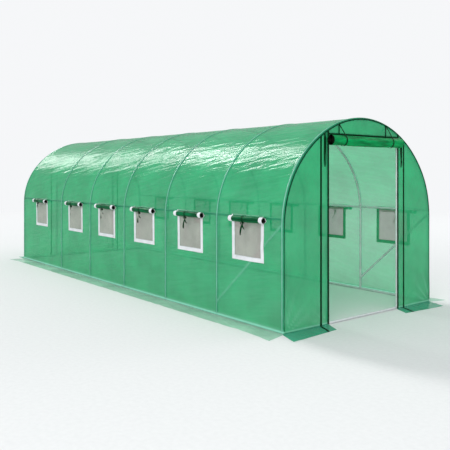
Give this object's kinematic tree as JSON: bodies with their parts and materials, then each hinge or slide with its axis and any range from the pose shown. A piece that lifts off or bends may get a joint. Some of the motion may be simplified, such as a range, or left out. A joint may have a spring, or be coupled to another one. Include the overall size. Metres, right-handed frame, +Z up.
{
  "type": "polytunnel greenhouse",
  "caption": "Walk-in polytunnel greenhouse: steel hoops under a green sheet cover, with a rolled-up end door and screened side windows under rolled flaps.",
  "frame": {"origin": "on the ground at the middle of the base", "axes": "+X along the tunnel towards the end with the open door, +Y to the right of someone who faces that door from outside, +Z up"},
  "size_m": [6.5016, 2.63, 1.93],
  "materials": {
    "steel_tube": "galvanised, satin",
    "cover_sheet": "translucent woven polyethylene sheet, semi-gloss",
    "rolled_sheet": "woven polyethylene sheet in several layers, semi-gloss",
    "dark_tape": "dark green webbing, matte",
    "white_tape": "white hook-and-loop tape, matte",
    "insect_screen": "fine grey mesh, matte"
  },
  "bodies": {
    "root": {"arch_1": "steel_tube", "arch_2": "steel_tube", "arch_3": "steel_tube", "arch_4": "steel_tube", "arch_5": "steel_tube", "arch_6": "steel_tube", "arch_7": "steel_tube", "uprights_left": "steel_tube", "uprights_right": "steel_tube", "ridge_rail": "steel_tube", "side_rails": "steel_tube", "base_rails": "steel_tube", "corner_braces": "steel_tube", "front_sill": "steel_tube", "rear_sill": "steel_tube", "front_door_posts": "steel_tube", "rear_door_posts": "steel_tube", "front_header": "steel_tube", "rear_header": "steel_tube", "roof_crown_left": "cover_sheet", "roof_crown_right": "cover_sheet", "roof_haunch_left": "cover_sheet", "roof_haunch_right": "cover_sheet", "roof_shoulder_left": "cover_sheet", "roof_shoulder_right": "cover_sheet", "wall_cover_left": "cover_sheet", "wall_cover_right": "cover_sheet", "skirt_left": "cover_sheet", "skirt_right": "cover_sheet", "front_panel_left": "cover_sheet", "front_panel_right": "cover_sheet", "front_panel_top": "cover_sheet", "rear_panel_left": "cover_sheet", "rear_panel_right": "cover_sheet", "rear_panel_top": "cover_sheet", "rear_door_panel": "cover_sheet", "front_flaps": "cover_sheet", "rear_flap": "cover_sheet", "front_zips": "dark_tape", "rear_zips": "dark_tape", "door_roll": "rolled_sheet", "door_straps": "dark_tape", "door_ties": "dark_tape", "window_frames": "white_tape", "window_screens": "insect_screen", "window_rolls": "rolled_sheet", "window_ties": "dark_tape"}
  },
  "joints": []
}
